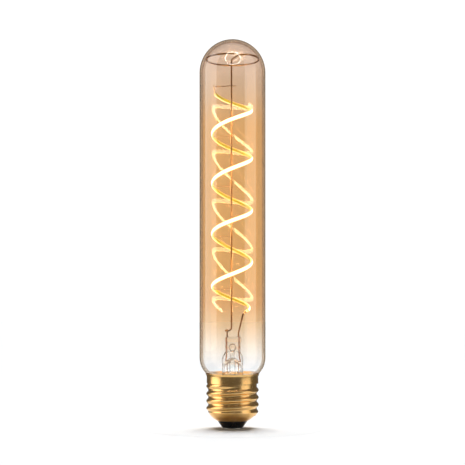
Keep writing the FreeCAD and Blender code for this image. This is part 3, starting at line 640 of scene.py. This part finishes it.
# Painted shade: a dark outline multiplied into the stem's glass where it is seen along its wall.
stem_painted_outline = [(0.42, (1.0, 1.0, 1.0)), (0.55, (0.55, 0.46, 0.40)), (0.78, (0.16, 0.12, 0.10))]
paint_dark_outline(stem_tree, painted_warm_reflection.outputs["Result"], stem_painted_outline)
finish_piece(pinched_stem(), stem_glass, "clear_glass", "stem_flare")
tube_inside = pump_tube_radius - pump_tube_wall
tip_height = pump_tip_height + pump_tube_radius
tube_top = stem_tube_top + stem_wall - 0.1 * mm
pumping_tube = lathe("pumping_tube", [
    (tube_inside, tube_top),
    (pump_tube_radius, tube_top),
    *arc_outline((0.0, tip_height), pump_tube_radius, 0, -90, 12)[:-1],
    (0.0, pump_tip_height),
    (0.0, pump_tip_height + pump_tube_wall),
    *arc_outline((0.0, tip_height), tube_inside, -90, 0, 12)[1:],
], 64)
finish_piece(pumping_tube, stem_glass, "clear_glass", "exhaust_tube")

# Mount wires. Stiff nickel-plated wires browned by the flame: two leads out of the pinch, the rod with
# its foot welded across the left lead and its spring loop in the dome, the feed wire and four supports.

browned_wire = marked_finish("browned nickel wire", (0.30, 0.145, 0.035), (0.20, 0.09, 0.02), (0.3, 0.45),
                             0.4, 1500.0, (1.0, 1.0, 0.2), 0.01 * mm)
for wire in ("inner_lead_left", "inner_lead_right", "centre_rod", "top_feed_wire",
             "filament_support_1", "filament_support_2", "filament_support_3", "filament_support_4"):
    finish_piece(smooth_copy("wire_" + wire, wire), browned_wire, "support_wire", wire)

# Strip filament. A soft strip formed by hand into a right-handed helix: a yellow backing that lets some
# light through, a domed silicone coat that glows, and bare plated tabs welded to their wires.

strip_axis_x = -0.25 * mm
strip_radius = 10.4 * mm
strip_width = 1.8 * mm
coat_thickness = 0.8 * mm
coat_inner_radius = strip_radius - coat_thickness
strip_bottom = 59.1 * mm
strip_top = 168.0 * mm
strip_unevenness = [lift * mm for lift in (0.0, -0.9, -0.9, 0.6, 0.1, 1.0, 1.4, 1.0, 0.5, -1.1)]
strip_start = -8.0
strip_end = 1592.0
strip_half_turn_rise = (strip_top - strip_bottom) / (strip_end / 180)
draw_in = 1.9 * mm
draw_in_angle = 70.0
draw_in_limit = 1.2
chip_count = 180
# The coat and the backing glow far more strongly for rays that meet them by reflection than for what is seen
# through the glass: painted reflection, so that the strip's image in the back wall stands out.
coat_strength_seen = 4.4
coat_painted_reflection_strengths = (9.0, 150.0)
backing_strength_seen = 0.28
backing_painted_reflection_strength = 85.0


def spline_bends(values):
    """Second differences of the smooth curve through evenly spaced values, free at both ends."""
    inner = len(values) - 2
    diagonal = [4.0] * inner
    wanted = [6 * (values[i] - 2 * values[i + 1] + values[i + 2]) for i in range(inner)]
    for row in range(1, inner):
        share = 1 / diagonal[row - 1]
        diagonal[row] -= share
        wanted[row] -= share * wanted[row - 1]
    bends = [0.0] * len(values)
    for row in range(inner - 1, -1, -1):
        bends[row + 1] = (wanted[row] - bends[row + 2]) / diagonal[row]
    return bends


strip_bends = spline_bends(strip_unevenness)


def strip_height(angle):
    half_turns = angle / 180
    place = min(max(half_turns, 0.0), len(strip_unevenness) - 1.0)
    index = min(int(place), len(strip_unevenness) - 2)
    after = place - index
    before = 1 - after
    lift = before * strip_unevenness[index] + after * strip_unevenness[index + 1]
    lift += (before ** 3 - before) * strip_bends[index] / 6
    lift += (after ** 3 - after) * strip_bends[index + 1] / 6
    return strip_bottom + strip_half_turn_rise * half_turns + lift


def strip_point(angle, radius, across):
    """Point on the strip, by its distance from the axis and its distance across the strip's width."""
    rise = strip_height(angle + 1) - strip_height(angle - 1)
    slope = math.atan2(rise, math.radians(2) * strip_radius)
    turn = math.radians(angle)
    left = min(max(1 - (angle - strip_start) / draw_in_angle, 0.0), draw_in_limit)
    drawn = radius - draw_in * left * left
    middle = Vector((strip_axis_x + drawn * math.cos(turn), drawn * math.sin(turn), strip_height(angle)))
    up = Vector((math.sin(turn) * math.sin(slope), -math.cos(turn) * math.sin(slope), math.cos(slope)))
    return middle + up * across


def strip_coat(samples_per_turn=72, facets=12):
    """The domed coat, with its own map: along the strip, and across from edge to edge."""
    half = strip_width / 2
    count = round((strip_end - strip_start) / 360 * samples_per_turn)
    work = bmesh.new()
    rings = []
    for step in range(count + 1):
        angle = strip_start + (strip_end - strip_start) * step / count
        ring = []
        for facet in range(facets + 1):
            swing = math.pi * facet / facets
            radius = coat_inner_radius + coat_thickness * math.sin(swing)
            ring.append(work.verts.new(strip_point(angle, radius, -half * math.cos(swing))))
        rings.append(ring)
    layer = work.loops.layers.uv.new("along and across")
    for index, (near, far) in enumerate(zip(rings, rings[1:])):
        for facet in range(facets + 1):
            following = (facet + 1) % (facets + 1)
            quad = work.faces.new([near[facet], far[facet], far[following], near[following]])
            under = facet == facets
            across = (1.0, 1.0, 0.0, 0.0) if under else (facet, facet, facet + 1, facet + 1)
            for loop, along, share in zip(quad.loops, (0, 1, 1, 0), across):
                loop[layer].uv = ((index + along) / count, share if under else share / facets)
    work.faces.new(rings[0])
    work.faces.new(rings[-1])
    bmesh.ops.recalc_face_normals(work, faces=work.faces)
    mesh = bpy.data.meshes.new("strip_coat")
    work.to_mesh(mesh)
    work.free()
    mesh.shade_smooth()
    mesh.set_sharp_from_angle(angle=math.radians(50))
    return new_piece("strip_coat", mesh)


def glowing_coat():
    """Silicone full of phosphor: white-hot along the middle, amber at its edges, with the chips under it."""
    material = bpy.data.materials.new("glowing coat")
    material.use_nodes = True
    tree = material.node_tree
    principled = tree.nodes["Principled BSDF"]
    principled.inputs["Roughness"].default_value = 0.5
    # Painted reflection: the coat's glow is much stronger for reflected rays, most of all at its edges.
    ray_kind = tree.nodes.new("ShaderNodeLightPath")
    strength = add_node(tree, "ShaderNodeMapRange", To_Max=coat_strength_seen)
    tree.links.new(ray_kind.outputs["Is Transmission Ray"], strength.inputs["Value"])
    tree.links.new(strength.outputs["Result"], principled.inputs["Emission Strength"])
    places = tree.nodes.new("ShaderNodeUVMap")
    places.uv_map = "along and across"
    parts = tree.nodes.new("ShaderNodeSeparateXYZ")
    tree.links.new(places.outputs[0], parts.inputs[0])
    across = formula_node(tree, "MULTIPLY_ADD", parts.outputs["Y"], 2.0, -1.0)
    from_middle = formula_node(tree, "ABSOLUTE", across)
    middle, edge = coat_painted_reflection_strengths
    mirrored = add_node(tree, "ShaderNodeMapRange", From_Min=0.66, From_Max=0.76, To_Min=middle, To_Max=edge)
    tree.links.new(from_middle, mirrored.inputs["Value"])
    tree.links.new(mirrored.outputs["Result"], strength.inputs["To Min"])
    glow = colour_ramp(tree, [
        (0.0, (1.0, 0.95, 0.93)),
        (0.55, (1.0, 0.93, 0.88)),
        (0.8, (0.45, 0.34, 0.19)),
        (1.0, (0.22, 0.15, 0.06)),
    ])
    tree.links.new(from_middle, glow.inputs["Fac"])
    along = formula_node(tree, "MULTIPLY", parts.outputs["X"], 2 * math.pi * chip_count)
    chips = formula_node(tree, "SINE", along)
    chip_share = formula_node(tree, "MULTIPLY_ADD", chips, 0.06, 0.94)
    lit = tree.nodes.new("ShaderNodeVectorMath")
    lit.operation = "SCALE"
    tree.links.new(glow.outputs["Color"], lit.inputs[0])
    tree.links.new(chip_share, lit.inputs["Scale"])
    tree.links.new(lit.outputs[0], principled.inputs["Emission Color"])
    marks = tree.nodes.new("ShaderNodeGroup")
    marks.node_tree = surface_marks
    marks.inputs["Scale"].default_value = 1200.0
    body = colour_ramp(tree, [(0.3, (0.78, 0.52, 0.12)), (0.7, (0.9, 0.66, 0.2))])
    tree.links.new(marks.outputs["Broad"], body.inputs["Fac"])
    tree.links.new(body.outputs["Color"], principled.inputs["Base Color"])
    bump = add_node(tree, "ShaderNodeBump", Distance=0.02 * mm)
    tree.links.new(marks.outputs["Fine"], bump.inputs["Height"])
    tree.links.new(bump.outputs["Normal"], principled.inputs["Normal"])
    return material


coat = strip_coat()
coat.visible_diffuse = False
finish_piece(coat, glowing_coat(), "strip_coat", "filament_phosphor")
backing = smooth_copy("strip_backing", "filament_board")
backing_yellow = marked_finish("lit backing", (0.62, 0.55, 0.04), (0.50, 0.43, 0.02), (0.4, 0.6), 0.0, 1500.0)
backing_principled = backing_yellow.node_tree.nodes["Principled BSDF"]
backing_tree = backing_yellow.node_tree
# Painted reflection: the backing glows strong and white for reflected rays, and only dim yellow as seen
# through the glass.
backing_ray = backing_tree.nodes.new("ShaderNodeLightPath")
backing_strength = add_node(backing_tree, "ShaderNodeMapRange", To_Min=backing_painted_reflection_strength,
                            To_Max=backing_strength_seen)
backing_tree.links.new(backing_ray.outputs["Is Transmission Ray"], backing_strength.inputs["Value"])
backing_tree.links.new(backing_strength.outputs["Result"], backing_principled.inputs["Emission Strength"])
backing_glow = colour_ramp(backing_tree, [(0.0, (1.0, 0.95, 0.88)), (1.0, (0.90, 0.92, 0.10))])
backing_tree.links.new(backing_ray.outputs["Is Transmission Ray"], backing_glow.inputs["Fac"])
backing_tree.links.new(backing_glow.outputs["Color"], backing_principled.inputs["Emission Color"])
backing.visible_diffuse = False
finish_piece(backing, backing_yellow, "strip_board", "filament_board")
plated = marked_finish("plated tab", (0.9, 0.66, 0.32), (0.7, 0.46, 0.2), (0.2, 0.4), 1.0, 2500.0)
for tab in ("filament_tab_top", "filament_tab_bottom"):
    finish_piece(smooth_copy("plated_" + tab, tab), plated, "tab_metal", tab)

# Glass envelope. A drawn tube, its end blown round and its foot drawn in to a neck that is sealed to the
# stem's flare. A thin gold film inside colours it, thinner in the dome and gone at the shoulder.

overall_height = 193.3 * mm
tube_radius = 16.4 * mm
glass_wall = 0.9 * mm
rim_clearance = 0.02 * mm
dome_height = overall_height - tube_radius
shoulder_radius = 11.85 * mm
neck_radius = 11.2 * mm
neck_fillet = 1.5 * mm
neck_bottom = 15.8 * mm
shoulder_x = tube_radius - shoulder_radius
mouth_radius = rim_radius - sheet - rim_clearance
shoulder_z = cap_height + math.sqrt(shoulder_radius ** 2 - (mouth_radius - shoulder_x) ** 2)


def envelope_side(inset):
    """Outline of one face of the glass from the top of the dome down to the neck's end."""
    fillet_x = neck_radius + neck_fillet
    reach = shoulder_radius + neck_fillet
    fillet_z = shoulder_z - math.sqrt(reach ** 2 - (fillet_x - shoulder_x) ** 2)
    towards = math.degrees(math.atan2(fillet_z - shoulder_z, fillet_x - shoulder_x))
    points = arc_outline((0.0, dome_height), tube_radius - inset, 90, 0, 40)
    points[0] = (0.0, dome_height + tube_radius - inset)
    drop = shoulder_z - dome_height
    points += [(tube_radius - inset, dome_height + drop * step / 8) for step in range(1, 8)]
    points += arc_outline((shoulder_x, shoulder_z), shoulder_radius - inset, 0, towards, 20)
    points += arc_outline((fillet_x, fillet_z), neck_fillet + inset, towards + 180, 180, 6)[1:]
    points.append((neck_radius - inset, neck_bottom))
    return points


envelope = lathe("amber_envelope", envelope_side(0.0) + envelope_side(glass_wall)[::-1], 144, 60.0)
amber_glass = clear_glass("amber glass", (1.0, 1.0, 1.0), 0.0, 0.003 * mm, 60.0)
amber_tree = amber_glass.node_tree
amber_principled = amber_tree.nodes["Principled BSDF"]
up_the_tube = height_share(amber_tree, 0.0, overall_height)
film = colour_ramp(amber_tree, [
    (0.160, (0.98, 0.98, 0.98)),
    (0.20, (0.95, 0.89, 0.82)),
    (0.27, (0.89, 0.72, 0.53)),
    (0.32, (0.87, 0.64, 0.41)),
    (0.40, (0.86, 0.63, 0.375)),
    (0.78, (0.86, 0.63, 0.385)),
    (0.87, (0.82, 0.66, 0.51)),
    (0.94, (0.80, 0.67, 0.57)),
    (1.0, (0.78, 0.67, 0.59)),
])
amber_tree.links.new(up_the_tube, film.inputs["Fac"])
# Painted shade: a dark brown outline multiplied into the amber film where the tube is seen along its wall;
# the film's own colour is the ramp above.
amber_painted_outline = [
    (0.63, (1.0, 1.0, 1.0)),
    (0.69, (0.48, 0.30, 0.15)),
    (0.76, (0.20, 0.11, 0.05)),
    (0.9, (0.10, 0.05, 0.02)),
]
paint_dark_outline(amber_tree, film.outputs["Color"], amber_painted_outline)
mirror_stops = ((0.17, 0.0), (0.33, 1.0), (0.89, 1.0), (0.92, 0.0))
mirror_film = colour_ramp(amber_tree, [(place, (share,) * 3) for place, share in mirror_stops])
amber_tree.links.new(up_the_tube, mirror_film.inputs["Fac"])
amber_tree.links.new(mirror_film.outputs["Color"], amber_principled.inputs["Coat Weight"])
amber_principled.inputs["Coat IOR"].default_value = 1.28
amber_principled.inputs["Specular IOR Level"].default_value = 0.16
amber_principled.inputs["Coat Roughness"].default_value = 0.0
finish_piece(envelope, amber_glass, "amber_glass", "glass_envelope")

# Studio. A pale floor and a white surround, a tall soft box at each side with a third for the brass
# alone, a lamp overhead that casts the shadow, and a ring light whose image stands in the dome.

floor_mesh = bpy.data.meshes.new("floor")
floor_reach = 30.0
floor_drop = -0.05 * mm
floor_sides = ((-1, -1), (1, -1), (1, 1), (-1, 1))
floor_corners = [(x * floor_reach, y * floor_reach, floor_drop) for x, y in floor_sides]
floor_mesh.from_pydata(floor_corners, [], [(0, 1, 2, 3)])
floor = new_piece("floor", floor_mesh)
floor_paint = marked_finish("floor paint", (0.915, 0.93, 0.945), (0.905, 0.92, 0.935), (0.8, 0.9), 0.0, 20.0)
floor_shader = floor_paint.node_tree.nodes["Principled BSDF"]
floor_shader.inputs["Emission Color"].default_value = (1.0, 1.0, 1.0, 1.0)
floor_shader.inputs["Emission Strength"].default_value = 0.02
floor_shader.inputs["Specular IOR Level"].default_value = 0.0
floor_mesh.materials.append(floor_paint)
floor.visible_glossy = False
table_radius = 45.0 * mm
table_bottom = -2.0 * mm
table_outline = [(0.0, table_bottom), (table_radius, table_bottom), (table_radius, 0.0), (0.0, 0.0)]
table_top = lathe("table top", table_outline, 96)
table_top.data.materials.append(floor_paint)


def soft_box(name, azimuth, height, distance, width, tall, power, colour):
    """An area lamp at this azimuth from the camera's side, facing the bulb."""
    light = bpy.data.lights.new(name, "AREA")
    light.shape = "RECTANGLE"
    light.size = width
    light.size_y = tall
    light.energy = power
    light.color = colour
    lamp = bpy.data.objects.new(name, light)
    turn = math.radians(azimuth)
    lamp.location = (distance * math.sin(turn), -distance * math.cos(turn), height)
    aim = Vector((0, 0, height)) - lamp.location
    lamp.rotation_euler = aim.to_track_quat("-Z", "Y").to_euler()
    bpy.context.scene.collection.objects.link(lamp)
    return lamp


left_box = soft_box("left soft box", -84, 0.5, 1.0, 1.0, 1.7, 7.6, (1.0, 0.97, 0.97))
right_box = soft_box("right soft box", 66, 0.5, 1.0, 0.85, 1.7, 5.0, (1.0, 0.96, 0.94))
cap_box = soft_box("cap soft box", -80, 0.5, 1.0, 0.8, 1.7, 4.0, (0.96, 0.93, 1.0))
cap_only = bpy.data.collections.new("lit by the cap box")
cap_only.objects.link(shell)
cap_box.light_linking.receiver_collection = cap_only
for lamp in (left_box, right_box, cap_box):
    lamp.visible_diffuse = False
overhead = bpy.data.lights.new("overhead", "SUN")
overhead.angle = math.radians(48)
overhead.energy = 3.35
overhead_lamp = bpy.data.objects.new("overhead", overhead)
overhead_lamp.rotation_euler.x = -math.radians(22)
bpy.context.scene.collection.objects.link(overhead_lamp)
overhead_lamp.visible_glossy = False
overhead_lamp.visible_transmission = False
ring_sides = 64
ring_radii = (0.41, 0.46)
ring_elevation = math.radians(40)
ring_aim = Vector((0.0, 0.0, 0.18))
ring_points = []
for radius in ring_radii:
    for side in range(ring_sides):
        turn = 2 * math.pi * side / ring_sides
        ring_points.append((radius * math.cos(turn), radius * math.sin(turn), 0.0))
ring_faces = []
for side in range(ring_sides):
    after = (side + 1) % ring_sides
    ring_faces.append((side, after, ring_sides + after, ring_sides + side))
ring_mesh = bpy.data.meshes.new("ring light")
ring_mesh.from_pydata(ring_points, [], ring_faces)
ring_place = Vector((0.03, -math.cos(ring_elevation), ring_aim.z + math.sin(ring_elevation)))
ring_facing = (ring_aim - ring_place).to_track_quat("-Z", "Y").to_matrix().to_4x4()
ring_facing.translation = ring_place
ring_mesh.transform(ring_facing)
ring_glow = marked_finish("ring glow", (1.0, 0.95, 0.88), (1.0, 0.93, 0.85), (0.5, 0.6), 0.0, 5.0)
ring_shader = ring_glow.node_tree.nodes["Principled BSDF"]
ring_shader.inputs["Emission Color"].default_value = (1.0, 0.9, 0.75, 1.0)
ring_shader.inputs["Emission Strength"].default_value = 14.0
ring_mesh.materials.append(ring_glow)
ring_light = new_piece("ring light", ring_mesh)
ring_light.visible_camera = False
ring_light.visible_diffuse = False
ring_light.visible_transmission = False
ring_light.visible_shadow = False
ring_lights = bpy.data.collections.new("lit by the ring")
ring_lights.objects.link(envelope)
ring_light.light_linking.receiver_collection = ring_lights

world = bpy.data.worlds.new("studio")
bpy.context.scene.world = world
world.use_nodes = True
sky = world.node_tree
background = sky.nodes["Background"]
ray_kind = sky.nodes.new("ShaderNodeLightPath")
ray_ways = ray_kind.outputs
mirrored = formula_node(sky, "MULTIPLY", ray_ways["Is Reflection Ray"], ray_ways["Is Glossy Ray"])
way = sky.nodes.new("ShaderNodeTexCoord")
way_parts = sky.nodes.new("ShaderNodeSeparateXYZ")
sky.links.new(way.outputs["Generated"], way_parts.inputs[0])
plain = add_node(sky, "ShaderNodeMix", A=0.10, B=1.08)
sky.links.new(ray_ways["Is Camera Ray"], plain.inputs["Factor"])
backdrop = add_node(sky, "ShaderNodeMapRange", From_Min=0.45, From_Max=0.8, To_Min=0.22, To_Max=1.12)
sky.links.new(way_parts.outputs["Y"], backdrop.inputs["Value"])
seen_through = sky.nodes.new("ShaderNodeMix")
sky.links.new(plain.outputs["Result"], seen_through.inputs["A"])
sky.links.new(ray_ways["Is Transmission Ray"], seen_through.inputs["Factor"])
sky.links.new(backdrop.outputs["Result"], seen_through.inputs["B"])
brightness = add_node(sky, "ShaderNodeMix", B=0.12)
sky.links.new(mirrored, brightness.inputs["Factor"])
sky.links.new(seen_through.outputs["Result"], brightness.inputs["A"])
sky.links.new(brightness.outputs["Result"], background.inputs["Strength"])
background.inputs["Color"].default_value = (1.0, 1.0, 1.0, 1.0)

camera_distance = 590.0 * mm
eye_height = 54.0 * mm
camera_data = bpy.data.cameras.new("camera")
camera_data.lens = 91.73
camera_data.sensor_width = 36.0
camera_data.shift_y = 0.1878
camera_data.clip_start = 0.01
camera = bpy.data.objects.new("camera", camera_data)
camera.location = (0.0, -camera_distance, eye_height)
camera.rotation_euler = (math.pi / 2, 0.0, 0.0)
bpy.context.scene.collection.objects.link(camera)
bpy.context.scene.camera = camera

scene = bpy.context.scene
scene.view_settings.view_transform = "Standard"
scene.cycles.max_bounces = 24
scene.cycles.transmission_bounces = 24
scene.cycles.glossy_bounces = 12
scene.cycles.transparent_max_bounces = 24
